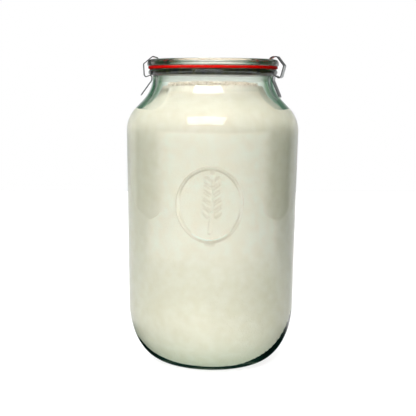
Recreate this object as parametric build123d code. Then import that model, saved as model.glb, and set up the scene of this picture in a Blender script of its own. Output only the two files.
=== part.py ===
from build123d import *

# Wide-mouthed preserving jar of about 3 litres, filled with sourdough starter.
#
# A pressed glass jar and a dished glass lid clamp a flat rubber ring between two ground faces. Two
# spring clips bent from steel strip hold them together: each presses on the lid with its lip and
# hooks under the jar's rim. The jar stands on Z = 0 with its axis on the Z axis and its front toward
# -Y. Sizes are in millimetres and degrees.

import os
from math import cos, radians, sin, tan

# Rubber ring, a standard size that sets the mouth, the rim, the lid and the clips
ring_radius = 54.0
ring_width = 7.0
ring_thickness = 2.2
ring_edge_round = 0.5
tab_reach = 8.5
tab_width = 15.0
tab_corner = 5.0
tab_root_round = 3.0

# Jar, outside
jar_height = 246.4
wall_lean = 0.75
heel_height = 49.0
heel_reach = 31.5
heel_middle = 45.0
foot_land = 6.0
punt_rise = 2.6
shoulder_reach = 21.7
shoulder_bend_share = 1.267
cone_slope = 43.5
neck_bend_share = 1.29
neck_straight = 0.9
rim_inset = 0.15
rim_depth = 5.3
rim_round = 2.6
under_rim_round = 0.6

# Jar, inside
wall = 4.0
floor_thickness = 6.5
floor_rise = 2.0
inner_heel_height = 47.0
inner_heel_reach = 34.0
mouth_clearance = 0.3
mouth_step = 1.0
mouth_seat_depth = 3.2
mouth_lead = 1.3
mouth_round = 0.8

# Lid
lid_overhang = 0.85
lid_thickness = 5.6
lid_top_round = 3.2
lid_seat_round = 1.2
crown_inset = 4.65
crown_width = 3.8
crown_round = 4.0
recess_depth = 0.8
plug_clearance = 0.4
plug_depth = 3.4
plug_round = 0.9
plug_root_round = 0.3
plug_width = 9.1
dish_ceiling = 2.1
dish_round = 0.8
dish_lip_round = 1.6

# Spring clips, bent from steel strip. Their places are those of the strip's centre line, with the clip
# standing upright: the upper ones from the lid's edge and top, the lower ones from the rim and neck.
strip_thickness = 0.7
strip_width = 8.0
strip_end_round = 2.4
lip_dip = 43.0
lip_inset = 7.65
lip_rise = 1.3
lip_bend = 1.6
crest_inset = 4.05
crest_rise = 2.2
crest_bend = 1.3
knee_reach = 3.35
knee_drop = 3.9
knee_bend = 1.2
tuck_reach = 3.85
tuck_rise = 0.1
tuck_bend = 1.0
low_knee_reach = 2.55
low_knee_drop = 1.4
low_knee_bend = 0.7
hook_gap = 0.9
hook_rise = 0.55
hook_bend = 1.6
hook_centre_reach = 2.5
hook_centre_drop = 1.9
shank_gap = 1.15
shank_drop = 4.3
shank_bend = 2.2
handle_length = 15.2
handle_splay = 36.0
skew_clearance = 0.2
left_clip_turn = 189.0
left_clip_rock = 0.0
left_clip_twist = -5.0
left_lip_length = 2.2
right_clip_turn = -16.0
right_clip_rock = 12.0
right_clip_twist = -6.0
right_lip_length = 3.3

# Starter
starter_gap = 0.3
starter_headroom = 14.6
starter_crown = 3.0

full_turn = 360.0

ring_bore_radius = ring_radius - ring_width
mouth_radius = ring_bore_radius + mouth_clearance
mouth_seat = jar_height - mouth_seat_depth
bore_radius = mouth_radius - mouth_step
neck_radius = bore_radius + wall
rim_radius = ring_radius - rim_inset
rim_bottom = jar_height - rim_depth
neck_top = rim_bottom - neck_straight
neck_bend = shoulder_reach * neck_bend_share
shoulder_bend = shoulder_reach * shoulder_bend_share
body_radius = neck_radius + shoulder_reach
foot_radius = body_radius - heel_reach
floor_radius = body_radius - wall - inner_heel_reach
lid_radius = ring_radius + lid_overhang
lid_seat = jar_height + ring_thickness
lid_top = lid_seat + lid_thickness
lid_floor = lid_top - recess_depth
crown_radius = lid_radius - crown_inset
recess_radius = crown_radius - crown_width
plug_radius = ring_bore_radius - plug_clearance
dish_radius = plug_radius - plug_width
starter_top = jar_height - starter_headroom


def turned(*lines):
    """The solid that a closed outline, drawn as radius and height, makes when it is turned."""
    outline = Curve() + list(lines)
    return revolve(Plane.XZ * make_face(outline), Axis.Z, full_turn)


def jar_side(inset, foot, foot_height, heel_top):
    """The jar's side from its neck down to its foot, `inset` inside the outer surface.

    It follows the neck's bend, the straight cone, the shoulder's bend and the leaning wall, and ends
    in the round heel. The bends of the two surfaces share their centres.
    """
    outer_bend = neck_bend + inset
    inner_bend = shoulder_bend - inset
    slope = radians(cone_slope)
    bends_width = (outer_bend + inner_bend) * (1 - cos(slope))
    cone_length = (body_radius - neck_radius - bends_width) / sin(slope)

    neck = JernArc((neck_radius - inset, neck_top), (0, -1), outer_bend, cone_slope)
    cone = Line(neck @ 1, neck @ 1 + cone_length * (neck % 1))
    shoulder = JernArc(cone @ 1, cone % 1, inner_bend, -cone_slope - wall_lean)
    drop = (shoulder @ 1).Y - heel_top
    side = Line(shoulder @ 1, ((shoulder @ 1).X - drop * tan(radians(wall_lean)), heel_top))
    turn = radians(heel_middle)
    middle = (
        foot + ((side @ 1).X - foot) * sin(turn),
        foot_height + (heel_top - foot_height) * (1 - cos(turn)),
    )
    heel = Spline(side @ 1, middle, (foot, foot_height), tangents=(side % 1, (-1, 0)))
    return [neck, cone, shoulder, side, heel]


def jar_inside(inset, height):
    """The jar's inner side, floor and axis, `inset` inside the glass, with its floor at `height`."""
    side = jar_side(wall + inset, floor_radius, height, inner_heel_height)
    middle = (0, height + floor_rise)
    return side, TangentArc(middle, (floor_radius, height), tangent=(1, 0)), middle


def make_jar():
    """The jar: a thick-bottomed pressed glass body with a rounded rim and a stepped mouth."""
    outside = jar_side(0, foot_radius, 0, heel_height)
    inside, floor, floor_middle = jar_inside(0, floor_thickness)
    rim = FilletPolyline(
        (neck_radius, neck_top),
        (neck_radius, rim_bottom),
        (rim_radius, rim_bottom),
        (rim_radius, jar_height),
        (mouth_radius, jar_height),
        (mouth_radius, mouth_seat),
        (bore_radius, mouth_seat - mouth_lead),
        (bore_radius, neck_top),
        radius=(under_rim_round, rim_round, rim_round, mouth_round, mouth_round, mouth_round),
    )
    land_end = (foot_radius - foot_land, 0)
    punt_middle = (0, punt_rise)
    return turned(
        rim,
        *outside,
        Line((foot_radius, 0), land_end),
        TangentArc(punt_middle, land_end, tangent=(1, 0)),
        Line(punt_middle, floor_middle),
        floor,
        *inside,
    )


def make_lid():
    """The lid: a crowned glass disc with a recess on top and a hollow plug below its ground seat."""
    outline = FilletPolyline(
        (0, lid_floor - dish_ceiling),
        (dish_radius, lid_floor - dish_ceiling),
        (dish_radius, lid_seat - plug_depth),
        (plug_radius, lid_seat - plug_depth),
        (plug_radius, lid_seat),
        (lid_radius, lid_seat),
        (lid_radius, lid_top),
        (crown_radius, lid_top),
        (recess_radius, lid_floor),
        (0, lid_floor),
        radius=(
            dish_round,
            dish_lip_round,
            plug_round,
            plug_root_round,
            lid_seat_round,
            lid_top_round,
            crown_round,
            crown_round,
        ),
    )
    return turned(outline, Line((0, lid_floor), (0, lid_floor - dish_ceiling)))


def make_ring():
    """The sealing ring: a flat rubber ring with a tongue at the back to pull it off by."""
    tongue = Pos(0, ring_radius) * Rectangle(tab_width, 2 * tab_reach)
    tongue = fillet(tongue.vertices().group_by(Axis.Y)[-1], tab_corner)
    disc = Circle(ring_radius) + tongue
    roots = disc.vertices().filter_by_position(Axis.Y, 0, ring_radius)
    disc = fillet(roots, tab_root_round)
    ring = extrude(disc - Circle(ring_bore_radius), ring_thickness)
    faces = ring.faces().sort_by(Axis.Z)
    ring = fillet(faces[0].edges() + faces[-1].edges(), ring_edge_round)
    return Pos(0, 0, jar_height) * ring


def make_clip(rock, twist, turn, lip_length):
    """A spring clip, tipped outward by `rock` and skewed by `twist` about its hook, at `turn`."""
    lip = (lid_radius - lip_inset, lid_top + lip_rise)
    shank = (neck_radius + shank_gap, rim_bottom - shank_drop)
    dip = radians(lip_dip)
    splay = radians(handle_splay)
    line = FilletPolyline(
        (lip[0] - lip_length * cos(dip), lip[1] - lip_length * sin(dip)),
        lip,
        (lid_radius - crest_inset, lid_top + crest_rise),
        (lid_radius + knee_reach, lid_top - knee_drop),
        (rim_radius + tuck_reach, rim_bottom + tuck_rise),
        (rim_radius + low_knee_reach, rim_bottom - low_knee_drop),
        (neck_radius + hook_gap, rim_bottom + hook_rise),
        shank,
        (shank[0] + handle_length * sin(splay), shank[1] - handle_length * cos(splay)),
        radius=(lip_bend, crest_bend, knee_bend, tuck_bend, low_knee_bend, hook_bend, shank_bend),
    )
    strip = extrude(Plane.XZ * trace(line, strip_thickness), strip_width / 2, both=True)
    corners = strip.edges().filter_by(GeomType.LINE).filter_by(lambda e: e.length < strip_width / 2)
    ends = corners.filter_by(lambda e: abs(e.length - strip_thickness) < strip_thickness / 10)
    strip = fillet(ends, strip_end_round)
    hook = Pos(neck_radius + hook_centre_reach, 0, rim_bottom - hook_centre_drop)
    skewed = Pos(skew_clearance, 0, 0) * hook * Rot(0, 0, twist) * Rot(0, rock, 0) * hook.inverse()
    return Rot(0, 0, turn) * skewed * strip


def make_starter():
    """The starter: the dough that fills the jar up into its neck, with a slightly domed top."""
    inside, floor, floor_middle = jar_inside(starter_gap, floor_thickness + starter_gap)
    brim = (0, jar_height)
    edge = (bore_radius - starter_gap, neck_top)
    filling = turned(
        *inside,
        floor,
        Line(floor_middle, brim),
        Line(brim, (edge[0], jar_height)),
        Line((edge[0], jar_height), edge),
    )
    dome_middle = (0, starter_top + starter_crown)
    dome_edge = (body_radius, starter_top - starter_crown)
    block = turned(
        TangentArc(dome_middle, dome_edge, tangent=(1, 0)),
        Line(dome_edge, (body_radius, 0)),
        Line((body_radius, 0), (0, 0)),
        Line((0, 0), dome_middle),
    )
    return filling & block


parts = {
    "jar_glass": make_jar(),
    "lid_glass": make_lid(),
    "sealing_ring": make_ring(),
    "clip_left": make_clip(left_clip_rock, left_clip_twist, left_clip_turn, left_lip_length),
    "clip_right": make_clip(right_clip_rock, right_clip_twist, right_clip_turn, right_lip_length),
    "starter": make_starter(),
}

os.makedirs("parts", exist_ok=True)
for name, solid in parts.items():
    export_step(solid, f"parts/{name}.step")
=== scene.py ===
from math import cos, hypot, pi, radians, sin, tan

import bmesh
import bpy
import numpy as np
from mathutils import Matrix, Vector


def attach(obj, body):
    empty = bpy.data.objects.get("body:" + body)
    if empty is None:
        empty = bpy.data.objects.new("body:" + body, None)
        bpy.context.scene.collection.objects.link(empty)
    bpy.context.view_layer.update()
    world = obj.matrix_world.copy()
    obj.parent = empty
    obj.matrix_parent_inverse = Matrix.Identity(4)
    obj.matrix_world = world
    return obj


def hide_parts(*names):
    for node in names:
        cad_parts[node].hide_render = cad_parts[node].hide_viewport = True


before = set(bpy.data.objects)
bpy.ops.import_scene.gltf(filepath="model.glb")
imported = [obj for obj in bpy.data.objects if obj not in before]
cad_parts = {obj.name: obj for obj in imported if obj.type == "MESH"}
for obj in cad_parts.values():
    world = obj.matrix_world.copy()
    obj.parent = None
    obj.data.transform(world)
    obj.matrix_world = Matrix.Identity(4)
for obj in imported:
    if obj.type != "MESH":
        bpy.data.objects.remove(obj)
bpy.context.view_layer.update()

# %% [markdown]
# # A jar of sourdough starter
#
# The object is a wide-mouthed preserving jar of pressed glass, closed by a glass lid on a red rubber
# ring and held by two spring clips of bent steel strip. It is full of sourdough starter. Glass shows
# mostly what stands around it, so the camera, the room and the table come first, and every piece is
# judged in them.
#
# A few small tools serve every cell. Colours are written as sRGB hex, as on a paint card, and turned
# to the linear values that a shader takes. One function adds a node, so that a material reads as a
# list of its nodes with what goes into each.

MM = 0.001


def from_hex(code):
    """An sRGB hex colour as the linear colour that a shader takes."""
    parts = [int(code[i : i + 2], 16) / 255 for i in (1, 3, 5)]
    return [p / 12.92 if p <= 0.04045 else ((p + 0.055) / 1.055) ** 2.4 for p in parts] + [1.0]


def grey(level):
    """A neutral colour by its linear level, where 1 is white."""
    return (level, level, level, 1.0)


def add_node(tree, kind, inputs=(), **settings):
    """A node of `kind` with what goes into it.

    Each of `inputs` is a link (input, node, output) or a plain value (input, value). A setting named
    after an input sets that input; any other sets the node itself.
    """
    node = tree.nodes.new(kind)
    for name, value in settings.items():
        label = name.replace("_", " ")
        socket = next((s for s in node.inputs if s.name.lower() == label and s.enabled), None)
        if hasattr(node, name) and name not in ("color", "label", "name"):
            setattr(node, name, value)
        elif socket is not None:
            socket.default_value = value
        else:
            raise ValueError(f"{kind} has no {name}")
    for target, source, *output in inputs:
        if output:
            tree.links.new(source.outputs[output[0]], node.inputs[target])
        else:
            node.inputs[target].default_value = source
    return node


def new_material(name):
    """An empty material and its node tree."""
    material = bpy.data.materials.new(name)
    material.use_nodes = True
    material.node_tree.nodes.clear()
    return material, material.node_tree


# %% [markdown]
# ## The camera
#
# The photograph was fitted as a pinhole camera: 750 mm in front of the jar, a little below the height
# of its rim, looking down by almost eight degrees. The lens stands to the left of the jar, and the
# frame is shifted instead of turning the camera toward it, which keeps the jar's sides as upright as
# they are in the photograph.

# %% Camera
FRAME_PIXELS = 416
FOCAL_PIXELS = 885.4
LENS_LEFT, LENS_DISTANCE, LENS_HEIGHT = 36.1, 750, 232.2
LOOKS_DOWN, LEANS = 7.84, 0.22
RIGHT_OF_MIDDLE = 3.75  # pixels from the frame's middle to the jar's axis

camera_data = bpy.data.cameras.new("camera")
camera_data.sensor_fit = "HORIZONTAL"
camera_data.sensor_width = 36.0
camera_data.lens = FOCAL_PIXELS / FRAME_PIXELS * camera_data.sensor_width
axis_shift = FOCAL_PIXELS * LENS_LEFT / LENS_DISTANCE
camera_data.shift_x = (axis_shift - RIGHT_OF_MIDDLE) / FRAME_PIXELS
camera_data.clip_start = 0.01
camera = bpy.data.objects.new("camera", camera_data)
bpy.context.scene.collection.objects.link(camera)
camera.matrix_world = (
    Matrix.Translation((-LENS_LEFT * MM, -LENS_DISTANCE * MM, LENS_HEIGHT * MM))
    @ Matrix.Rotation(radians(90 - LOOKS_DOWN), 4, "X")
    @ Matrix.Rotation(radians(LEANS), 4, "Z")
)
bpy.context.scene.camera = camera
bpy.context.scene.view_settings.view_transform = "Standard"
print("lens", round(camera_data.lens, 1), "mm, shift", round(camera_data.shift_x, 3))

# %% [markdown]
# ## The room
#
# A product photographer lights glass by what surrounds it: white boards where the glass should shine,
# and dark cloth where its outline should be drawn. Boards and lamps could stand here too, but a room
# painted on the world does the same, is quicker to tune, and casts no shadows of its own. Its
# directions are divided into zones with soft borders, by how far a direction points back (Y) and up
# (Z), each from -1 to 1.

# %% Zones of the room
world = bpy.data.worlds.new("studio_room")
bpy.context.scene.world = world
world.use_nodes = True
room = world.node_tree
room.nodes.clear()
way = add_node(room, "ShaderNodeTexCoord")
split = add_node(room, "ShaderNodeSeparateXYZ", [(0, way, "Generated")])
ray = add_node(room, "ShaderNodeLightPath")

ROOM_ZONES = {  # the axis, where the zone begins and where it is full
    "behind": ("Y", 0.48, 0.66),
    "far behind": ("Y", 0.78, 0.94),
    "in front": ("Y", 0.0, -0.50),
    "above": ("Z", 0.35, 0.85),
    "low": ("Z", 0.16, -0.04),
    "low behind": ("Z", 0.24, 0.08),
    "panel's back": ("Y", 0.0, 0.15),
    "panel's height": ("Z", 0.97, 0.85),
}
zone = {
    name: add_node(
        room, "ShaderNodeMapRange", [(0, split, axis)],
        interpolation_type="SMOOTHSTEP", from_min=begins, from_max=full,
    )
    for name, (axis, begins, full) in ROOM_ZONES.items()
}
print("room zones:", ", ".join(zone))

# %% [markdown]
# What a surface mirrors is built up in layers, each laid over the one before where its zone is full.
# A white board stands low in front and makes the broad pale reflection on the jar. The sides are dim
# and olive and leave the two dark streaks beside it. The backdrop is pale near the table, where it
# lights the jar's edges, and dim above. A level is a linear grey, and 1 is white.

# %% What the glass and the steel mirror
WHITE_BOARD, BACKDROP_LOW, BACKDROP_LOW_FAR, BACKDROP_HIGH = 2.7, 0.9, 0.62, 0.25

front_low = add_node(
    room, "ShaderNodeMath", [(0, zone["in front"], 0), (1, zone["low"], 0)], operation="MULTIPLY",
)
sides = add_node(
    room, "ShaderNodeMix", [(0, front_low, 0), (6, from_hex("#2C2B12")), (7, grey(WHITE_BOARD))],
    data_type="RGBA",
)
backdrop_low = add_node(
    room, "ShaderNodeMix",
    [(0, zone["far behind"], 0), (6, grey(BACKDROP_LOW)), (7, grey(BACKDROP_LOW_FAR))],
    data_type="RGBA",
)
backdrop = add_node(
    room, "ShaderNodeMix",
    [(0, zone["low behind"], 0), (6, grey(BACKDROP_HIGH)), (7, backdrop_low, 2)],
    data_type="RGBA",
)
walls = add_node(
    room, "ShaderNodeMix", [(0, zone["behind"], 0), (6, sides, 2), (7, backdrop, 2)],
    data_type="RGBA",
)
mirrored_room = add_node(
    room, "ShaderNodeMix", [(0, zone["above"], 0), (6, walls, 2), (7, from_hex("#1C1C16"))],
    data_type="RGBA",
)
print("the mirrored room has 5 layers")

# %% [markdown]
# A ray that has gone through glass sees another room: a white panel behind the jar, as wide as its
# neck, and deep green around it. That is how clear thick glass looks against a white ground. It is
# pale in its middle, and its edges gather the green of the glass.

# %% What shows through the glass
PANEL_MIDDLE, PANEL_EDGE, PANEL_FULL = 0.05, 0.30, 0.14

off_axis = add_node(
    room, "ShaderNodeMath", [(0, split, "X"), (1, PANEL_MIDDLE)], operation="SUBTRACT",
)
off_middle = add_node(room, "ShaderNodeMath", [(0, off_axis, 0)], operation="ABSOLUTE")
panel_width = add_node(
    room, "ShaderNodeMapRange", [(0, off_middle, 0)],
    interpolation_type="SMOOTHSTEP", from_min=PANEL_EDGE, from_max=PANEL_FULL,
)
panel_face = add_node(
    room, "ShaderNodeMath", [(0, panel_width, 0), (1, zone["panel's height"], 0)],
    operation="MULTIPLY",
)
panel = add_node(
    room, "ShaderNodeMath", [(0, panel_face, 0), (1, zone["panel's back"], 0)],
    operation="MULTIPLY",
)
room_through_glass = add_node(
    room, "ShaderNodeMix", [(0, panel, 0), (6, from_hex("#2E7350")), (7, grey(1.0))],
    data_type="RGBA",
)
shown_room = add_node(
    room, "ShaderNodeMix",
    [(0, ray, "Is Transmission Ray"), (6, mirrored_room, 2), (7, room_through_glass, 2)],
    data_type="RGBA",
)
print("white panel seen through the glass:", PANEL_EDGE, "to each side of its middle")

# %% [markdown]
# The light on the matt dough comes from soft lamps, each a lobe of the sky that is brightest in its
# middle: a key above the camera's left shoulder, two lamps behind that lift the jar's sides, a little
# light from in front and from above, and an olive rest from the walls. Area lamps would light it as
# well, but the glass would mirror them all.

# %% What lights the dough
LOBES = {  # the direction, how narrow, and how bright
    "left back lamp": ((-0.50, 0.87, 0.40), 28.0, 16.0),
    "right back lamp": ((0.50, 0.87, 0.40), 28.0, 16.0),
    "front fill": ((-0.05, -1.0, 0.05), 8.0, 0.5),
    "sky": ((0.0, 0.0, 1.0), 5.0, 0.8),
    "key": ((-0.21, -0.66, 0.73), 24.0, 26.5),
}
light = None
for direction, narrowness, brightness in LOBES.values():
    aim = add_node(
        room, "ShaderNodeVectorMath", [(0, way, "Generated"), (1, Vector(direction).normalized())],
        operation="DOT_PRODUCT",
    )
    ahead = add_node(room, "ShaderNodeMath", [(0, aim, "Value"), (1, 0.0)], operation="MAXIMUM")
    lobe = add_node(room, "ShaderNodeMath", [(0, ahead, 0), (1, narrowness)], operation="POWER")
    glow = add_node(room, "ShaderNodeMath", [(0, lobe, 0), (1, brightness)], operation="MULTIPLY")
    if light is not None:
        glow = add_node(room, "ShaderNodeMath", [(0, glow, 0), (1, light, 0)], operation="ADD")
    light = glow
lit_room = add_node(
    room, "ShaderNodeMix", [(0, 1.0), (6, light, 0), (7, from_hex("#24220C"))],
    data_type="RGBA", blend_type="ADD",
)
print("soft lights:", ", ".join(LOBES))

# %% [markdown]
# Now each kind of ray gets its own room. Diffuse Depth is 0 until a ray has left a matt surface, so
# the lobes light the dough and never show as bright spots in the glass. The camera itself sees plain
# white where the room begins, so the picture has a white ground.

# %% The finished room
left_matt = add_node(
    room, "ShaderNodeMath", [(0, ray, "Diffuse Depth"), (1, 1.0)], operation="MINIMUM",
)
room_colour = add_node(
    room, "ShaderNodeMix", [(0, left_matt, 0), (6, shown_room, 2), (7, lit_room, 2)],
    data_type="RGBA",
)
surroundings = add_node(room, "ShaderNodeBackground", [("Color", room_colour, 2)], strength=1.0)
white_ground = add_node(room, "ShaderNodeBackground", color=grey(1.0), strength=1.0)
room_mix = add_node(
    room, "ShaderNodeMixShader",
    [(0, ray, "Is Camera Ray"), (1, surroundings, 0), (2, white_ground, 0)],
)
add_node(room, "ShaderNodeOutputWorld", [(0, room_mix, 0)])
print("the room has", len(room.nodes), "nodes")

# %% [markdown]
# ## The window lamp
#
# The two bright shapes on the neck and the shoulder are one soft box, mirrored in both bends of the
# glass. It could be a bright patch on the world too, but a lamp has straight edges in its mirror
# image, and its size and distance can be given in metres.

# %% Window lamp
WINDOW_AZIMUTH, WINDOW_ELEVATION, WINDOW_DISTANCE = -12, 44, 1.2
WINDOW_AIM = (0, 0, 0.2)

lamp = bpy.data.lights.new("window_box", "AREA")
lamp.shape = "RECTANGLE"
lamp.size, lamp.size_y = 0.96, 0.60
lamp.energy = 10
window_box = bpy.data.objects.new("window_box", lamp)
bpy.context.scene.collection.objects.link(window_box)
azimuth, elevation = radians(WINDOW_AZIMUTH), radians(WINDOW_ELEVATION)
toward_lamp = Vector(
    (sin(azimuth) * cos(elevation), -cos(azimuth) * cos(elevation), sin(elevation))
)
window_box.location = Vector(WINDOW_AIM) + toward_lamp * WINDOW_DISTANCE
window_box.rotation_euler = toward_lamp.to_track_quat("Z", "Y").to_euler()
print("window lamp at", [round(v, 2) for v in window_box.location])

# %% [markdown]
# ## The table
#
# The table is a white board that keeps the jar's shadow. It has zones too, by the distance from the
# jar and by which side of it they are on. Glass mirrors the open table, brightly in front and dimly
# behind, and close to the jar it mirrors the dark under it, which draws the line round its foot. The
# board in front also throws light up on the heel, as white paper does in a studio.

# %% Zones of the table
LEFT, RIGHT, FRONT, BACK = -0.80, 0.80, -1.1, 1.2

table_mesh = bpy.data.meshes.new("table")
table_mesh.from_pydata(
    [(LEFT, FRONT, 0), (RIGHT, FRONT, 0), (RIGHT, BACK, 0), (LEFT, BACK, 0)], [], [(0, 1, 2, 3)]
)
table = bpy.data.objects.new("table", table_mesh)
bpy.context.scene.collection.objects.link(table)
white_board, tree = new_material("matt white laminate")
ray = add_node(tree, "ShaderNodeLightPath")
spot = add_node(tree, "ShaderNodeTexCoord")
distance = add_node(tree, "ShaderNodeVectorMath", [(0, spot, "Object")], operation="LENGTH")
side = add_node(tree, "ShaderNodeSeparateXYZ", [(0, spot, "Object")])
TABLE_ZONES = {  # the measure, where the zone begins and where it is full, in metres
    "in front": (side, "Y", 0.12, -0.12),
    "open behind": (distance, "Value", 0.08, 0.15),
    "open in front": (distance, "Value", 0.20, 0.60),
    "near the jar": (distance, "Value", 0.27, 0.10),
}
zone = {
    name: add_node(
        tree, "ShaderNodeMapRange", [(0, node, measure)],
        interpolation_type="SMOOTHSTEP", from_min=begins, from_max=full,
    )
    for name, (node, measure, begins, full) in TABLE_ZONES.items()
}
open_table = add_node(
    tree, "ShaderNodeMix",
    [(0, zone["in front"], 0), (2, zone["open behind"], 0), (3, zone["open in front"], 0)],
    data_type="FLOAT",
)
near_front = add_node(
    tree, "ShaderNodeMath", [(0, zone["in front"], 0), (1, zone["near the jar"], 0)],
    operation="MULTIPLY",
)
print("table zones:", ", ".join(zone))

# %% [markdown]
# Light Path tells how a ray came here. Straight after glass it is a transmission ray. After the matt
# dough it has a Diffuse Depth of 1 or more, also when it went through glass later. A glossy ray that
# is neither of these carries a plain mirror image.

# %% How a ray came to the table
through_glass = add_node(
    tree, "ShaderNodeMath", [(0, ray, "Is Transmission Ray"), (1, ray, "Diffuse Depth")],
    operation="SUBTRACT", use_clamp=True,
)
not_through = add_node(
    tree, "ShaderNodeMath", [(0, ray, "Is Glossy Ray"), (1, ray, "Is Transmission Ray")],
    operation="SUBTRACT",
)
mirrored = add_node(
    tree, "ShaderNodeMath", [(0, not_through, 0), (1, ray, "Diffuse Depth")],
    operation="SUBTRACT", use_clamp=True,
)
left_matt = add_node(
    tree, "ShaderNodeMath", [(0, ray, "Diffuse Depth"), (1, 1.0)], operation="MINIMUM",
)
left_matt_far = add_node(
    tree, "ShaderNodeMath", [(0, left_matt, 0), (1, near_front, 0)],
    operation="SUBTRACT", use_clamp=True,
)
mirrored_near = add_node(
    tree, "ShaderNodeMath", [(0, mirrored, 0), (1, open_table, 0)],
    operation="SUBTRACT", use_clamp=True,
)
print("ray kinds at the table: through glass, mirrored, from a matt surface, to the camera")

# %% [markdown]
# A glow lifts the board to white. More light on it would do so too, but that light would fall on the
# jar as well. The glow's strength depends on the kind of ray and on the zone: the camera sees 1, and
# a mirror image and the light thrown up on the heel have levels of their own.

# %% How brightly the board glows
MIRRORED_BEHIND, MIRRORED_IN_FRONT = 0.45, 2.9
THROWN_UP = 2.35

mirror_level = add_node(
    tree, "ShaderNodeMapRange", [(0, zone["in front"], 0)],
    to_min=MIRRORED_BEHIND, to_max=MIRRORED_IN_FRONT,
)
mirrored_open = add_node(
    tree, "ShaderNodeMath", [(0, mirrored, 0), (1, open_table, 0)], operation="MULTIPLY",
)
mirrored_glow = add_node(
    tree, "ShaderNodeMath", [(0, mirrored_open, 0), (1, mirror_level, 0)], operation="MULTIPLY",
)
lit_heel = add_node(
    tree, "ShaderNodeMath", [(0, left_matt, 0), (1, near_front, 0)], operation="MULTIPLY",
)
thrown_up = add_node(
    tree, "ShaderNodeMath", [(0, lit_heel, 0), (1, THROWN_UP)], operation="MULTIPLY",
)
indirect = add_node(
    tree, "ShaderNodeMath", [(0, mirrored_glow, 0), (1, thrown_up, 0)], operation="ADD",
)
strength = add_node(
    tree, "ShaderNodeMath", [(0, indirect, 0), (1, ray, "Is Camera Ray")], operation="ADD",
)
print("mirrored, the board glows by", MIRRORED_BEHIND, "behind and", MIRRORED_IN_FRONT, "in front")

# %% [markdown]
# The board itself is matt laminate, a middle grey that takes the shadow under its glow. Rays that
# come through glass, or that mirror the board close to the jar, find a dark green glow instead:
# painted shade that stands for the dark under the jar.

# %% The board's finish
# Matt laminate: no gloss, an even pale face with a soft shadow.
board = add_node(tree, "ShaderNodeBsdfDiffuse", color=from_hex("#7C7C7C"))
glow = add_node(tree, "ShaderNodeEmission", [("Strength", strength, 0)], color=grey(0.8))
lit_board = add_node(tree, "ShaderNodeAddShader", [(0, board, 0), (1, glow, 0)])
# Painted shade: a dark green glow in place of the shadow under the jar.
painted_shade_under_jar = add_node(tree, "ShaderNodeEmission", color=from_hex("#122822"), strength=1.0)
seen_or_far = add_node(
    tree, "ShaderNodeMath", [(0, through_glass, 0), (1, left_matt_far, 0)], operation="MAXIMUM",
)
unlit = add_node(
    tree, "ShaderNodeMath", [(0, seen_or_far, 0), (1, mirrored_near, 0)], operation="MAXIMUM",
)
face = add_node(tree, "ShaderNodeMixShader", [(0, unlit, 0), (1, lit_board, 0), (2, painted_shade_under_jar, 0)])
add_node(tree, "ShaderNodeOutputMaterial", [("Surface", face, 0)])
table_mesh.materials.append(white_board)
print("table", [round(v, 2) for v in table.dimensions])

# %% [markdown]
# ## Turned outlines
#
# Jar, lid and starter are all turned bodies, so each is drawn once as an outline of radius and height
# and then spun. A curve with a Bevel could give the outline. Points that are worked out keep to the
# sizes of the CAD part, which they repeat in millimetres, and can lie closer where detail is needed.
# A corner is written with the radius that rounds it, and becomes an arc. Pressed glass has no sharp
# edges, and it is these small roundings that catch the light.

# %% Rounded corners
def rounded(corners, step=7.0):
    """The points of an open outline whose inner corners (x, y, radius) become arcs."""
    points = [corners[0][:2]]
    for (ax, ay, _), (bx, by, radius), (cx, cy, _) in zip(corners, corners[1:], corners[2:]):
        before, after = Vector((ax - bx, ay - by)), Vector((cx - bx, cy - by))
        turn = pi - before.angle(after)
        if radius < 1e-6 or turn < 1e-3:
            points.append((bx, by))
            continue
        reach = radius * tan(turn / 2)
        start = Vector((bx, by)) + before.normalized() * reach
        bisector = (before.normalized() + after.normalized()).normalized()
        centre = Vector((bx, by)) + bisector * hypot(radius, reach)
        spoke = start - centre
        side = 1 if before.x * after.y - before.y * after.x < 0 else -1
        count = max(2, int(np.ceil(np.degrees(turn) / step)))
        for k in range(count + 1):
            swing = Matrix.Rotation(side * turn * k / count, 2)
            points.append(tuple(centre + swing @ spoke))
    points.append(corners[-1][:2])
    return points


corner = rounded([(0, 0, 0), (10, 0, 3), (10, 10, 0)])
print("a corner of radius 3 mm becomes", len(corner) - 2, "points")

# %% [markdown]
# The jar's outer and inner faces have the same run: the neck bends out into a straight cone, the
# shoulder bends back into the wall, which leans in a little, and the heel rounds off to the foot.
# Their bends share their centres, so one function draws both faces.

# %% The run of the jar's side
BODY, WALL = 72.0, 4.0
NECK, NECK_TOP = 50.3, 240.2
CONE_SLOPE, WALL_LEAN = radians(43.5), radians(0.75)
NECK_BEND, SHOULDER_BEND = 28.0, 27.5
NECK_POINTS, SHOULDER_POINTS, HEEL_POINTS = 12, 14, 26


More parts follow.
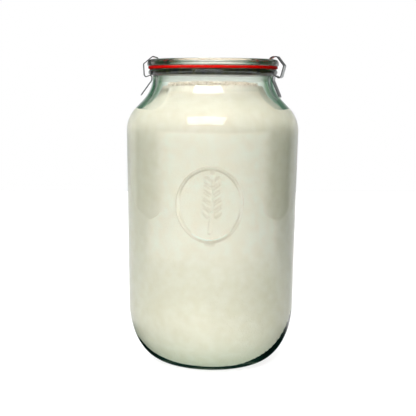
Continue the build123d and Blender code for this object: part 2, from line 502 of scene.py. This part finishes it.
def jar_side(inset, foot, foot_height, heel_top, rows):
    """The jar's side from neck to foot, `inset` inside its outer face, with points at `rows`."""
    outer_bend, inner_bend = NECK_BEND + inset, SHOULDER_BEND - inset
    neck_x = NECK - inset
    points = [
        (neck_x + outer_bend * (1 - cos(a)), NECK_TOP - outer_bend * sin(a))
        for a in np.linspace(0, CONE_SLOPE, NECK_POINTS)
    ]
    bends_width = (outer_bend + inner_bend) * (1 - cos(CONE_SLOPE))
    cone = (BODY - NECK - bends_width) / sin(CONE_SLOPE)
    x, z = points[-1][0] + cone * sin(CONE_SLOPE), points[-1][1] - cone * cos(CONE_SLOPE)
    centre = (x - inner_bend * cos(CONE_SLOPE), z - inner_bend * sin(CONE_SLOPE))
    points += [
        (centre[0] + inner_bend * cos(a), centre[1] + inner_bend * sin(a))
        for a in np.linspace(CONE_SLOPE, -WALL_LEAN, SHOULDER_POINTS)
    ]
    x, z = points[-1]
    points += [(x - (z - row) * tan(WALL_LEAN), row) for row in rows]
    x_end = x - (z - heel_top) * tan(WALL_LEAN)
    points += [
        (foot + (x_end - foot) * cos(a), foot_height + (heel_top - foot_height) * (1 - sin(a)))
        for a in np.linspace(0, pi / 2, HEEL_POINTS)
    ]
    return points


print("the bends and the heel have", NECK_POINTS + SHOULDER_POINTS + HEEL_POINTS, "points")

# %% [markdown]
# A Screw modifier would spin the outline. Here the spin is done on the numbers, because the mark on
# the front and the gaps behind the glass have to move single points in and out. The spin takes a
# function for that, and makes quads round the body and a fan of triangles at each pole.

# %% Spinning an outline
def full_circle(count):
    """`count` even angles round the circle."""
    return np.linspace(0, 2 * pi, count, endpoint=False)


def spin(name, outline, angles, push=None, ring=False):
    """A closed mesh from an outline that starts and ends on the axis, spun through `angles`.

    With `ring` the outline is a closed loop beside the axis instead. `push` may move points: it takes
    radius, angle and height arrays in mm and gives a new radius.
    """
    inner = outline if ring else outline[1:-1]
    radius = np.array([p[0] for p in inner])
    height = np.array([p[1] for p in inner])
    r, a = np.meshgrid(radius, angles, indexing="ij")
    z = np.repeat(height[:, None], len(angles), axis=1)
    if push is not None:
        r = push(r, a, z)
    points = np.stack([r * np.cos(a), r * np.sin(a), z], axis=-1).reshape(-1, 3)
    rows, columns = len(radius), len(angles)
    numbers = np.arange(rows * columns).reshape(rows, columns)
    quads = []
    for i in range(rows if ring else rows - 1):
        here, there = numbers[i], numbers[(i + 1) % rows]
        quads.append(np.stack([here, np.roll(here, -1), np.roll(there, -1), there], axis=-1))
    faces = np.concatenate(quads).tolist()
    if not ring:
        first_pole, last_pole = rows * columns, rows * columns + 1
        faces += [(first_pole, q, p) for p, q in zip(numbers[0], np.roll(numbers[0], -1))]
        faces += [(last_pole, p, q) for p, q in zip(numbers[-1], np.roll(numbers[-1], -1))]
        points = np.concatenate([points, [(0, 0, outline[0][1]), (0, 0, outline[-1][1])]])
    mesh = bpy.data.meshes.new(name)
    mesh.from_pydata((points * MM).tolist(), [], [[int(v) for v in face] for face in faces])
    shell = bmesh.new()
    shell.from_mesh(mesh)
    bmesh.ops.recalc_face_normals(shell, faces=shell.faces)
    shell.to_mesh(mesh)
    shell.free()
    mesh.shade_smooth()
    piece = bpy.data.objects.new(name, mesh)
    bpy.context.scene.collection.objects.link(piece)
    print(name, len(mesh.polygons), "faces")
    return piece


print("240 even angles are", round(float(np.degrees(full_circle(240)[1])), 2), "degrees apart")

# %% [markdown]
# ## The jar
#
# Jar glass is soda-lime glass pressed and blown in iron moulds. On the front stands a plain oval with
# an ear of wheat, as is usual on kitchen glass. It is raised by half a millimetre in the mesh itself,
# because a real bump bends light through the glass, which a painted one can't. The mark is a height
# map worked out from its drawing: an oval line, a stem, and eleven grains.

# %% The raised oval on the front
MARK_X, MARK_Z = -4.5, 141.0
OVAL_HALF_WIDTH, OVAL_HALF_HEIGHT, OVAL_MEAN, OVAL_LINE = 25.0, 28.5, 26.5, 1.4
STEM_TOP, STEM_END, STEM_BEND, STEM_LINE = -5, -23, 2.2, 1.3
EAR_X, TOP_GRAIN, GRAIN_LEAN = 1.6, 22.3, radians(30)
PANEL_SUNK, OVAL_RAISED, STEM_RAISED, GRAIN_RAISED = 0.35, 0.75, 0.7, 0.85


def smooth_bump(distance, half_width):
    """1 on a line and 0 outside its half width, with a round top."""
    t = np.clip(1 - (distance / half_width) ** 2, 0, 1)
    return t * t * (3 - 2 * t)


def grain(u, v, half_u, half_v, lean):
    """The height of a grain whose middle is at u = v = 0, leaning to one side."""
    along = u * np.sin(lean) + v * np.cos(lean)
    across = u * np.cos(lean) - v * np.sin(lean)
    outward = (np.hypot(across / half_u, along / half_v) - 1) * half_u
    return GRAIN_RAISED * np.clip(-outward / half_u, 0, 1) ** 0.5


def raised_mark(x, z):
    """How far the mark stands out of the glass, in mm, at a place on the front."""
    u, v = x - MARK_X, z - MARK_Z
    oval_line = (np.hypot(u / OVAL_HALF_WIDTH, v / OVAL_HALF_HEIGHT) - 1) * OVAL_MEAN
    ground = -PANEL_SUNK * np.clip(0.5 - oval_line / 1.6, 0, 1)
    figure = OVAL_RAISED * smooth_bump(oval_line, OVAL_LINE)
    stem = np.abs(u - EAR_X - STEM_BEND * np.sin((v + 7) / 16.0))
    stem = np.where((v > STEM_END) & (v < STEM_TOP), stem, 9.0)
    figure = np.maximum(figure, STEM_RAISED * smooth_bump(stem, STEM_LINE))
    for k in range(5):
        for side in (-1, 1):
            grain_u, grain_v = EAR_X + side * (4.9 - 0.45 * k), -6.0 + 6.0 * k
            height = grain(u - grain_u, v - grain_v, 2.5, 4.7, side * GRAIN_LEAN)
            figure = np.maximum(figure, height)
    return ground + np.maximum(figure, grain(u - EAR_X, v - TOP_GRAIN, 2.3, 4.6, 0))


top_grain = float(raised_mark(MARK_X + EAR_X, MARK_Z + TOP_GRAIN))
print("the ear's top grain rises", round(top_grain, 2), "mm")

# %% [markdown]
# The mark goes on as a push of the points on the front. The outer face rises, but stays within the
# part's box. The inner face and the dough behind it follow, as on glass that was pressed in a mould,
# so that no lens forms in the wall.

# %% Pushing the mark out
MARK_BOTTOM, MARK_TOP = 105, 175
OUTER_FACE, INNER_FACE, DOUGH_FACE = BODY - 2.5, BODY - 3.5, BODY - 7
WIDEST = BODY - 0.05


def push_mark(r, a, z):
    """The new radius: the mark stands out on the outer face, and the faces behind it follow."""
    place = (z > MARK_BOTTOM) & (z < MARK_TOP) & (np.sin(a) < 0)
    outer, inner = place & (r > OUTER_FACE), place & (r < INNER_FACE) & (r > DOUGH_FACE)
    height = raised_mark(r * np.cos(a), z)
    return np.where(outer, np.minimum(r + height, WIDEST), np.where(inner, r + height, r))


print("the mark is pushed out between", MARK_BOTTOM, "and", MARK_TOP, "mm")

# %% [markdown]
# The mesh is fine only where the mark is: rows every half millimetre and columns every 0.4 degrees.
# Elsewhere the glass is smooth, and a coarse mesh with smooth shading bends light as well.

# %% The jar's outline and mesh
JAR_TOP = 246.4
RIM, RIM_BOTTOM, RIM_ROUND = 53.85, 241.1, 2.6
MOUTH, BORE, MOUTH_SEAT, LEAD_END, MOUTH_ROUND = 47.3, 46.3, 243.2, 241.9, 0.8
FOOT, LAND, PUNT_RISE, HEEL_TOP = 40.5, 6.0, 2.6, 49.0
FLOOR_EDGE, FLOOR_TOP, FLOOR_RISE, INNER_HEEL_TOP = 34.0, 6.5, 2.0, 47.0
MARK_FROM, MARK_TO = -27.6, 19.6  # degrees to the left and right of the front

mark_rows = list(np.arange(171.5, 110.5, -0.5))
wall_rows = list(np.linspace(188, 174, 3)) + mark_rows + list(np.linspace(108, 56, 8))
outside = jar_side(0, FOOT, 0, HEEL_TOP, wall_rows)
inside = jar_side(WALL, FLOOR_EDGE, FLOOR_TOP, INNER_HEEL_TOP, wall_rows)
rim = rounded(
    [
        (NECK, NECK_TOP, 0), (NECK, RIM_BOTTOM, 0.6), (RIM, RIM_BOTTOM, RIM_ROUND),
        (RIM, JAR_TOP, RIM_ROUND), (MOUTH, JAR_TOP, MOUTH_ROUND), (MOUTH, MOUTH_SEAT, MOUTH_ROUND),
        (BORE, LEAD_END, MOUTH_ROUND), (BORE, NECK_TOP, 0),
    ]
)
land = [(FOOT - LAND * t, 0.0) for t in (0.25, 0.5, 0.75, 1.0)]
shares = (0.95, 0.85, 0.7, 0.5, 0.3, 0.12, 0)
punt = [((FOOT - LAND) * t, PUNT_RISE * (1 - t * t)) for t in shares]
floor_line = [(FLOOR_EDGE * t, FLOOR_TOP + FLOOR_RISE * (1 - t * t)) for t in shares]
outline = punt[::-1] + land[::-1] + outside[::-1] + rim[1:-1] + inside + floor_line
fine = np.arange(MARK_FROM, MARK_TO, 0.4)
coarse = np.linspace(MARK_TO, 360 + MARK_FROM, 92, endpoint=False)
around = np.radians(np.concatenate([fine, coarse]) - 90)
jar = spin("jar_glass_smooth", outline, around, push_mark)

# %% [markdown]
# ## Glass
#
# Soda-lime glass has an index of refraction of 1.52. It is clear through a thin wall, and faint green
# through a thick one, because iron in the sand takes a little red out of the light on every
# millimetre. A green surface would tint thin and thick glass alike. So the surface is plain clear
# glass, and the green is in the volume. The moulds leave pressed glass a little uneven, which the eye
# reads in bent reflections. A slow wave of bump stands for that: some centimetres long, and only a
# fraction of a millimetre high.

# %% Soda-lime glass
def soda_lime_glass(name, tint, density, wave_mm, wave_depth):
    """Clear pressed glass with a tint in its volume and slow waves on its face."""
    material, tree = new_material(name)
    place = add_node(tree, "ShaderNodeTexCoord")
    waves = add_node(
        tree, "ShaderNodeTexNoise", [("Vector", place, "Object")],
        scale=1 / (wave_mm * MM), detail=1.5, roughness=0.4,
    )
    bump = add_node(
        tree, "ShaderNodeBump", [("Height", waves, 0)], strength=1.0, distance=wave_depth * MM,
    )
    glass = add_node(
        tree, "ShaderNodeBsdfPrincipled", [("Normal", bump, 0)],
        base_color=(1, 1, 1, 1), roughness=0.0, ior=1.52, transmission_weight=1.0,
    )
    absorb = add_node(tree, "ShaderNodeVolumeAbsorption", color=from_hex(tint), density=density)
    add_node(tree, "ShaderNodeOutputMaterial", [("Surface", glass, 0), ("Volume", absorb, 0)])
    return material


# Pressed jar glass: green where the eye looks along a wall, clear where it looks through one.
jar_glass = soda_lime_glass("pressed soda-lime glass, jar", "#7CCBA4", 26.0, 26, 0.22)
jar.data.materials.append(jar_glass)
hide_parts("jar_glass")
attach(jar, "jar")
print(jar.name, "is made of", jar_glass.name)

# %% [markdown]
# ## The lid
#
# The lid is pressed from the same glass. Its crown is where the clips press, a shallow recess on top
# lets jars be stacked, and a hollow plug below keeps it centred in the ring. Its seat stands a
# twentieth of a millimetre above the ring. The real seat is ground and holds a film of air, and with
# no air at all the whole lid would turn red from the rubber under it.

# %% Lid
RING_THICK, AIR_FILM, LID_THICK = 2.2, 0.05, 5.6
LID, CROWN, RECESS, RECESS_DEPTH = 54.85, 50.2, 46.4, 0.8
PLUG, PLUG_HOLLOW, PLUG_DEPTH, CEILING_THICK = 46.6, 37.5, 3.4, 2.1

lid_seat = JAR_TOP + RING_THICK
lid_top = lid_seat + LID_THICK
plug_end, seat = lid_seat - PLUG_DEPTH, lid_seat + AIR_FILM
recess_floor = lid_top - RECESS_DEPTH
ceiling = recess_floor - CEILING_THICK
lid_outline = rounded(
    [
        (0, ceiling, 0), (PLUG_HOLLOW, ceiling, 0.8), (PLUG_HOLLOW, plug_end, 1.6),
        (PLUG, plug_end, 0.9), (PLUG, seat, 0.3), (LID, seat, 1.2), (LID, lid_top, 3.2),
        (CROWN, lid_top, 4.0), (RECESS, recess_floor, 4.0), (0, recess_floor, 0),
    ],
    step=5.0,
)
lid = spin("lid_glass_smooth", lid_outline, full_circle(240))
# Pressed lid glass: the same glass with a fainter and yellower tint, so its edge stays pale.
lid_glass = soda_lime_glass("pressed soda-lime glass, lid", "#A9D080", 9.0, 18, 0.10)
lid.data.materials.append(lid_glass)
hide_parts("lid_glass")
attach(lid, "lid")

# %% [markdown]
# ## The starter
#
# Sourdough starter is a wet dough. It lies against the glass all round, and where the two touch,
# glass and dough look like one creamy body. Where the dough has come away, below and at the sides of
# the neck, the air between them mirrors like silver and shows the green and the dark of the glass.
# Painting that on the dough would look flat, so the gaps are real: the dough is pressed a tenth of a
# millimetre into the glass, and stands back from it in those places.

# %% Where the dough comes away
PRESSED, STANDS_BACK = 0.1, 0.6  # mm
FLOOR_GAP, SHOULDER_GAP, NECK_GAP = 9.0, 212.0, 227.0  # heights at which the dough comes away
LEAVES_BELOW, LEAVES_ABOVE = 3.0, 2.0  # mm over which it leaves the glass
BACK_RISE, RIGHT_WIDE, RIGHT_NARROW, LEFT_NARROW = 7, 14, 18, 9  # how much higher the heel's gap gets
HEEL_SIDE = radians(8)  # the heel's gap is highest a little in front of the jar's sides
POCKET, POCKET_RADIUS = 5.0, 50.0  # how deep the neck's pockets are, and at which radius
NECK_SIDE, POCKET_SIDE, POCKET_BORDER = 36, 46, 16  # degrees from the jar's right or left side
POCKET_HEIGHT = 12
SURFACE = 231.0  # above it the dough is free all round
DOUGH_FOOT, DOUGH_FLOOR = 33.5, 6.9


def push_dough(r, a, z):
    """The new radius of the dough: pressed into the glass, or standing back where it came away."""
    from_side = np.abs(np.abs((a - pi / 2) % pi - pi / 2) * 180 / pi)
    top = SHOULDER_GAP + (NECK_GAP - SHOULDER_GAP) * np.clip(from_side / NECK_SIDE, 0, 1) ** 1.5
    over = np.clip((z - top) / LEAVES_ABOVE, 0, 1)
    to_right = np.clip(np.cos(a + HEEL_SIDE), 0, 1)
    to_left = np.clip(-np.cos(a - HEEL_SIDE), 0, 1)
    turned_away = 1 - np.clip(-np.sin(a), 0, 1)
    wander = turned_away * (0.8 * np.sin(7 * a) + 0.5 * np.sin(13 * a + 1))
    sides_open = RIGHT_WIDE * to_right**6 + RIGHT_NARROW * to_right**24 + LEFT_NARROW * to_left**16
    bottom = FLOOR_GAP + BACK_RISE * turned_away + sides_open + wander
    below = np.clip((bottom - z) / LEAVES_BELOW, 0, 1)
    apart = np.where(z > SURFACE, 1.0, np.maximum(below, over))
    beside = np.clip((POCKET_SIDE - from_side) / POCKET_BORDER, 0, 1)
    hollow = beside * np.clip((z - SHOULDER_GAP) / POCKET_HEIGHT, 0, 1)
    hollow = POCKET * hollow * hollow * (3 - 2 * hollow)
    stands_back = STANDS_BACK * apart * (r > DOUGH_FOOT - 0.1)
    return push_mark(r, a, z) + PRESSED - stands_back - hollow * r / POCKET_RADIUS


at_side = push_dough(np.array(60.0), np.array(0.0), np.array(220.0)) - 60
print("at the neck's side the dough stands back", round(float(-at_side), 1), "mm")

# %% [markdown]
# The starter's outline is the inside of the jar from its neck down, closed by a flat dome above. Its
# foot ends a little above the jar's floor.

# %% The starter's mesh
DOME_EDGE, DOME_RISE = 231.6, 3.0
SIDE_TOP = 229.5  # the highest row that follows the jar's inner face

starter_side = [(r, z) for r, z in inside if z < SIDE_TOP]
starter_side[-1] = (DOUGH_FOOT, DOUGH_FLOOR)
edge_radius = starter_side[0][0] - 0.5


def dome_point(t):
    """A point of the starter's domed top, at a share of its radius."""
    return edge_radius * t, DOME_EDGE + DOME_RISE * (1 - t**2.2)


dome = [dome_point(t) for t in (0, 0.1, 0.25, 0.4, 0.55, 0.7, 0.82, 0.92, 0.98)]
bottom = [
    (DOUGH_FOOT * t, DOUGH_FLOOR + FLOOR_RISE * (1 - t * t)) for t in (0.95, 0.8, 0.6, 0.4, 0.2, 0)
]
dough = spin("starter_dough", dome + starter_side + bottom, around, push_dough)

# %% [markdown]
# Wheat dough is cream-coloured, a little cloudy where bran and flour lie unevenly, and full of fine
# bubbles that show as shallow pits. It is wet but matt, with a weak sheen. The clouds come from
# noise, and the pits from Voronoi cells. Light goes a few millimetres into real dough. Subsurface
# scattering could give that, but behind glass a pale colour and soft lamps look the same. Two colours
# blended by noise serve the film and the painted shade in the mouth too, so that step is a function.

# %% Wet dough
CLOUD, PIT = 1000 / 130, 2.2  # mm: 130 clouds in a metre, and pits wider than real ones, to show


def clouded(tree, size, span, colours):
    """Two colours in clouds of a size in mm: the coordinates and the blended colour."""
    place = add_node(tree, "ShaderNodeTexCoord")
    clouds = add_node(
        tree, "ShaderNodeTexNoise", [("Vector", place, "Object")], scale=1 / (size * MM), detail=4.0,
    )
    tone = add_node(tree, "ShaderNodeValToRGB", [("Fac", clouds, 0)])
    for stop, position, colour in zip(tone.color_ramp.elements, span, colours):
        stop.position, stop.color = position, from_hex(colour)
    return place, tone


# Wet wheat dough: cream, matt, and pitted where bubbles lie under its skin.
dough_skin, tree = new_material("wet wheat dough with fine bubbles")
place, tone = clouded(tree, CLOUD, (0.3, 0.7), ("#F6E7D7", "#FCEFE3"))
cells = add_node(tree, "ShaderNodeTexVoronoi", [("Vector", place, "Object")], scale=1 / (PIT * MM))
pits = add_node(
    tree, "ShaderNodeMapRange", [(0, cells, "Distance")],
    from_max=0.45, interpolation_type="SMOOTHSTEP",
)
relief = add_node(tree, "ShaderNodeBump", [("Height", pits, 0)], strength=0.35, distance=0.25 * MM)
skin = add_node(
    tree, "ShaderNodeBsdfPrincipled", [("Base Color", tone, 0), ("Normal", relief, 0)],
    roughness=0.55, specular_ior_level=0.25,
)
add_node(tree, "ShaderNodeOutputMaterial", [("Surface", skin, 0)])
dough.data.materials.append(dough_skin)
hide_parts("starter")
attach(dough, "jar")
print(dough.name, "is made of", dough_skin.name)

# %% [markdown]
# A starter rises and falls, and leaves a film of dough in the neck. It is so thin that the white
# panel behind still shows through it. It could be painted on the glass, but the glass is one piece
# with one finish, so the film is a closed band of its own, with a lower edge that has run unevenly.
# Seen straight on, it is crossed four times, twice in front and twice behind, and each crossing hides
# a little more, so one layer is almost clear.

# %% Film of dough in the neck
SMEAR_RADIUS, SMEAR_EDGE = BORE + 0.1, 236.6
SMEAR_BOTTOM, SMEAR_TOP = 235.4, 241.8


def push_smear(r, a, z):
    """The smear touches the glass, except where its lower edge has run unevenly."""
    wander = 0.5 * np.sin(3 * a + 1) + 0.4 * np.sin(7 * a) + 0.3 * np.sin(17 * a + 2)
    apart = np.clip((SMEAR_EDGE + wander - z) / 0.5, 0, 1)
    return np.where(r > SMEAR_RADIUS - 0.2, r - 0.5 * apart, r)


smear_line = [(SMEAR_RADIUS, z) for z in np.arange(SMEAR_BOTTOM, SMEAR_TOP, 0.3)]
smear_line += [(45.8, 241.4), (45.4, 239.5), (45.5, 236.5), (45.8, 235.3)]
smear = spin("dough_smear", smear_line, full_circle(240), push_smear, ring=True)
# A thin film of dough: a milky veil with streaks some 5 mm wide. Its colour is partly the film's own
# milky pale and partly painted light, paler than the dough to make up for the shade under the rim.
smear_skin, tree = new_material("thin film of dough on glass")
place, tone = clouded(tree, 5.0, (0.35, 0.65), ("#F6F1DE", "#FFFDF4"))
film = add_node(
    tree, "ShaderNodeBsdfPrincipled", [("Base Color", tone, 0)],
    roughness=0.6, specular_ior_level=0.25, alpha=0.12,
)
add_node(tree, "ShaderNodeOutputMaterial", [("Surface", film, 0)])
smear.data.materials.append(smear_skin)
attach(smear, "jar")

# %% [markdown]
# In the mouth, between rim and plug, a thin near-black band stands for the shade in there: painted
# shade. It is what makes the band under the red ring nearly black. It is a thin band too, because the
# bends of the rim then show it several times, as they do on the real jar.

# %% Painted shade in the mouth
MOUTH_SHADE_OUTER, MOUTH_SHADE_INNER, MOUTH_SHADE_TOP, MOUTH_SHADE_END = MOUTH + 0.06, MOUTH - 0.15, 246.1, 243.3

mouth_shade_line = [
    (MOUTH_SHADE_OUTER, MOUTH_SHADE_TOP), (MOUTH_SHADE_OUTER, MOUTH_SHADE_END),
    (MOUTH_SHADE_INNER, MOUTH_SHADE_END), (MOUTH_SHADE_INNER, MOUTH_SHADE_TOP),
]
mouth_shade_band = spin("painted_mouth_shade", mouth_shade_line, full_circle(240), ring=True)
# Painted shade in the mouth: brown-black and olive flakes some 3 mm wide, without gloss.
mouth_shade_paint, tree = new_material("painted shade in the mouth")
place, tone = clouded(tree, 3.0, (0.35, 0.65), ("#070500", "#423C06"))
mouth_shade_bsdf = add_node(tree, "ShaderNodeBsdfPrincipled", [("Base Color", tone, 0)], roughness=0.7)
add_node(tree, "ShaderNodeOutputMaterial", [("Surface", mouth_shade_bsdf, 0)])
mouth_shade_band.data.materials.append(mouth_shade_paint)
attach(mouth_shade_band, "jar")

# %% [markdown]
# ## Bubbles
#
# The gas of the yeast rises through the dough and stands on it as bubbles of all sizes. They could be
# a bump in the dough's finish, but a real bubble has an outline against the glass. Geometry Nodes
# scatter them: points at least one spacing apart, and on each a small ball of random size, sunk to
# its middle. A ball has few faces, because there are hundreds and each is a few millimetres wide.

# %% The bubble tree
PLACE_SEED, SIZE_SEED = 7, 3


def bubble_tree(material):
    """A node tree that turns a surface into bubbles standing on it."""
    tree = bpy.data.node_groups.new("bubbles", "GeometryNodeTree")
    tree.interface.new_socket("Surface", in_out="INPUT", socket_type="NodeSocketGeometry")
    for name in ("Spacing", "Smallest", "Largest"):
        tree.interface.new_socket(name, in_out="INPUT", socket_type="NodeSocketFloat")
    tree.interface.new_socket("Bubbles", in_out="OUTPUT", socket_type="NodeSocketGeometry")
    given = add_node(tree, "NodeGroupInput")
    points = add_node(
        tree, "GeometryNodeDistributePointsOnFaces",
        [("Mesh", given, "Surface"), ("Distance Min", given, "Spacing")],
        distribute_method="POISSON", density_max=160000.0, seed=PLACE_SEED,
    )
    size = add_node(
        tree, "FunctionNodeRandomValue", [(2, given, "Smallest"), (3, given, "Largest")],
        data_type="FLOAT", seed=SIZE_SEED,
    )
    ball = add_node(tree, "GeometryNodeMeshUVSphere", segments=8, rings=6, radius=1.0)
    placed = add_node(
        tree, "GeometryNodeInstanceOnPoints",
        [("Points", points, "Points"), ("Instance", ball, "Mesh"), ("Scale", size, 1)],
    )
    real = add_node(tree, "GeometryNodeRealizeInstances", [("Geometry", placed, 0)])
    smooth = add_node(tree, "GeometryNodeSetShadeSmooth", [("Geometry", real, 0)])
    skinned = add_node(
        tree, "GeometryNodeSetMaterial", [("Geometry", smooth, 0), ("Material", material)],
    )
    add_node(tree, "NodeGroupOutput", [("Bubbles", skinned, 0)])
    return tree


bubble_nodes = bubble_tree(dough_skin)
print("the bubble tree has", len(bubble_nodes.nodes), "nodes")

# %% [markdown]
# The tree grows the bubbles on a bed, a dome of the same shape as the starter's top but smaller, so
# that none touches the glass. The bed is thrown away when the bubbles are a mesh of their own.

# %% Bubbles on the dough
BED_RADIUS, BED_RINGS, BED_SPOKES = 37.0, 12, 48


def grown_mesh(name, bed, tree, **inputs):
    """A plain mesh object that the tree grows on `bed`, which is then thrown away."""
    grower = bed.modifiers.new("grower", "NODES")
    grower.node_group = tree
    for item in tree.interface.items_tree:
        if item.in_out == "INPUT" and item.name in inputs:
            grower[item.identifier] = inputs[item.name]
    view = bed.evaluated_get(bpy.context.evaluated_depsgraph_get())
    mesh = bpy.data.meshes.new_from_object(view)
    piece = bpy.data.objects.new(name, mesh)
    bpy.context.scene.collection.objects.link(piece)
    bpy.data.objects.remove(bed)
    print(name, len(mesh.polygons), "faces")
    return piece


bed_points = [(0.0, 0.0, (DOME_EDGE + DOME_RISE) * MM)]
for k in range(1, BED_RINGS + 1):
    r = BED_RADIUS * k / BED_RINGS
    height = dome_point(r / edge_radius)[1]
    bed_points += [
        (r * MM * cos(a), r * MM * sin(a), height * MM) for a in full_circle(BED_SPOKES)
    ]
bed_faces = [(0, 1 + k, 1 + (k + 1) % BED_SPOKES) for k in range(BED_SPOKES)]
for start in range(1, 1 + BED_SPOKES * (BED_RINGS - 1), BED_SPOKES):
    for k in range(BED_SPOKES):
        near, far = start + k, start + (k + 1) % BED_SPOKES
        bed_faces.append((near, near + BED_SPOKES, far + BED_SPOKES, far))
bed_mesh = bpy.data.meshes.new("bubble_bed")
bed_mesh.from_pydata(bed_points, [], bed_faces)
bubble_bed = bpy.data.objects.new("bubble_bed", bed_mesh)
bpy.context.scene.collection.objects.link(bubble_bed)
bubbles = grown_mesh(
    "dough_bubbles", bubble_bed, bubble_nodes,
    Spacing=2.9 * MM, Smallest=0.5 * MM, Largest=2.3 * MM,
)
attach(bubbles, "jar")

# %% [markdown]
# ## Ring and clips
#
# The CAD shapes of the ring and the clips are right as they are, so they stay and only get their
# finishes. The ring is red vulcanised rubber, moulded and dusted, so it has almost no gloss.

# %% Red rubber
RUBBER_GRAIN = 0.8  # mm, coarser than the real moulding grain, which is finer than a pixel

# Vulcanised rubber: a deep even red without a highlight, a little rough to the eye.
rubber, tree = new_material("red vulcanised rubber")
place = add_node(tree, "ShaderNodeTexCoord")
specks = add_node(
    tree, "ShaderNodeTexNoise", [("Vector", place, "Object")],
    scale=1 / (RUBBER_GRAIN * MM), detail=2.0,
)
feel = add_node(tree, "ShaderNodeBump", [("Height", specks, 0)], strength=0.3, distance=0.05 * MM)
red = add_node(
    tree, "ShaderNodeBsdfPrincipled", [("Normal", feel, 0)],
    base_color=from_hex("#A80200"), roughness=0.7, specular_ior_level=0.02,
)
add_node(tree, "ShaderNodeOutputMaterial", [("Surface", red, 0)])
ring_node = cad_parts["sealing_ring"]
ring_node.data.materials.clear()
ring_node.data.materials.append(rubber)
print("sealing_ring is made of", rubber.name)

# %% [markdown]
# The clips are stainless spring strip, rolled thin and sheared to its width. Rolling leaves its flat
# faces bright, with fine lines along the strip that spread a highlight. The sheared edges are painted
# near-black, a painted shade that draws the clips' dark outlines. Which is which follows from where a
# face looks: the sheared edges face along Y.

# %% Spring stainless strip
LINE_LENGTH, LINE_WIDTH = 2.5, 1 / 6  # mm, wider than real rolling lines, to show

# Rolled stainless: bright grey faces, blurred along the rolling lines, and edges painted near-black
# as painted shade.
steel, tree = new_material("rolled spring stainless strip")
place = add_node(tree, "ShaderNodeTexCoord")
line_scale = (1 / (LINE_LENGTH * MM), 1 / (LINE_WIDTH * MM), 1 / (LINE_LENGTH * MM))
rolling = add_node(
    tree, "ShaderNodeMapping", [("Vector", place, "Object"), ("Scale", line_scale)],
    vector_type="POINT",
)
lines = add_node(tree, "ShaderNodeTexNoise", [("Vector", rolling, 0)], scale=1.0, detail=3.0)
shine = add_node(
    tree, "ShaderNodeMapRange", [(0, lines, 0)],
    from_min=0.3, from_max=0.7, to_min=0.22, to_max=0.38,
)
facing = add_node(tree, "ShaderNodeSeparateXYZ", [(0, place, "Normal")])
along_y = add_node(tree, "ShaderNodeMath", [(0, facing, "Y")], operation="ABSOLUTE")
# Painted shade: faces that look along Y, the sheared edges, get a near-black colour.
painted_edge_shade = add_node(
    tree, "ShaderNodeMapRange", [(0, along_y, 0)],
    from_min=0.72, from_max=0.9, interpolation_type="SMOOTHSTEP",
)
tone = add_node(
    tree, "ShaderNodeMix", [(0, painted_edge_shade, 0), (6, from_hex("#A4A8A8")), (7, from_hex("#121414"))],
    data_type="RGBA",
)
metal = add_node(
    tree, "ShaderNodeBsdfPrincipled", [("Roughness", shine, 0), ("Base Color", tone, 2)],
    metallic=1.0,
)
add_node(tree, "ShaderNodeOutputMaterial", [("Surface", metal, 0)])
for name in ("clip_left", "clip_right"):
    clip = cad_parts[name]
    clip.data.materials.clear()
    clip.data.materials.append(steel)
    print(name, "is made of", steel.name)
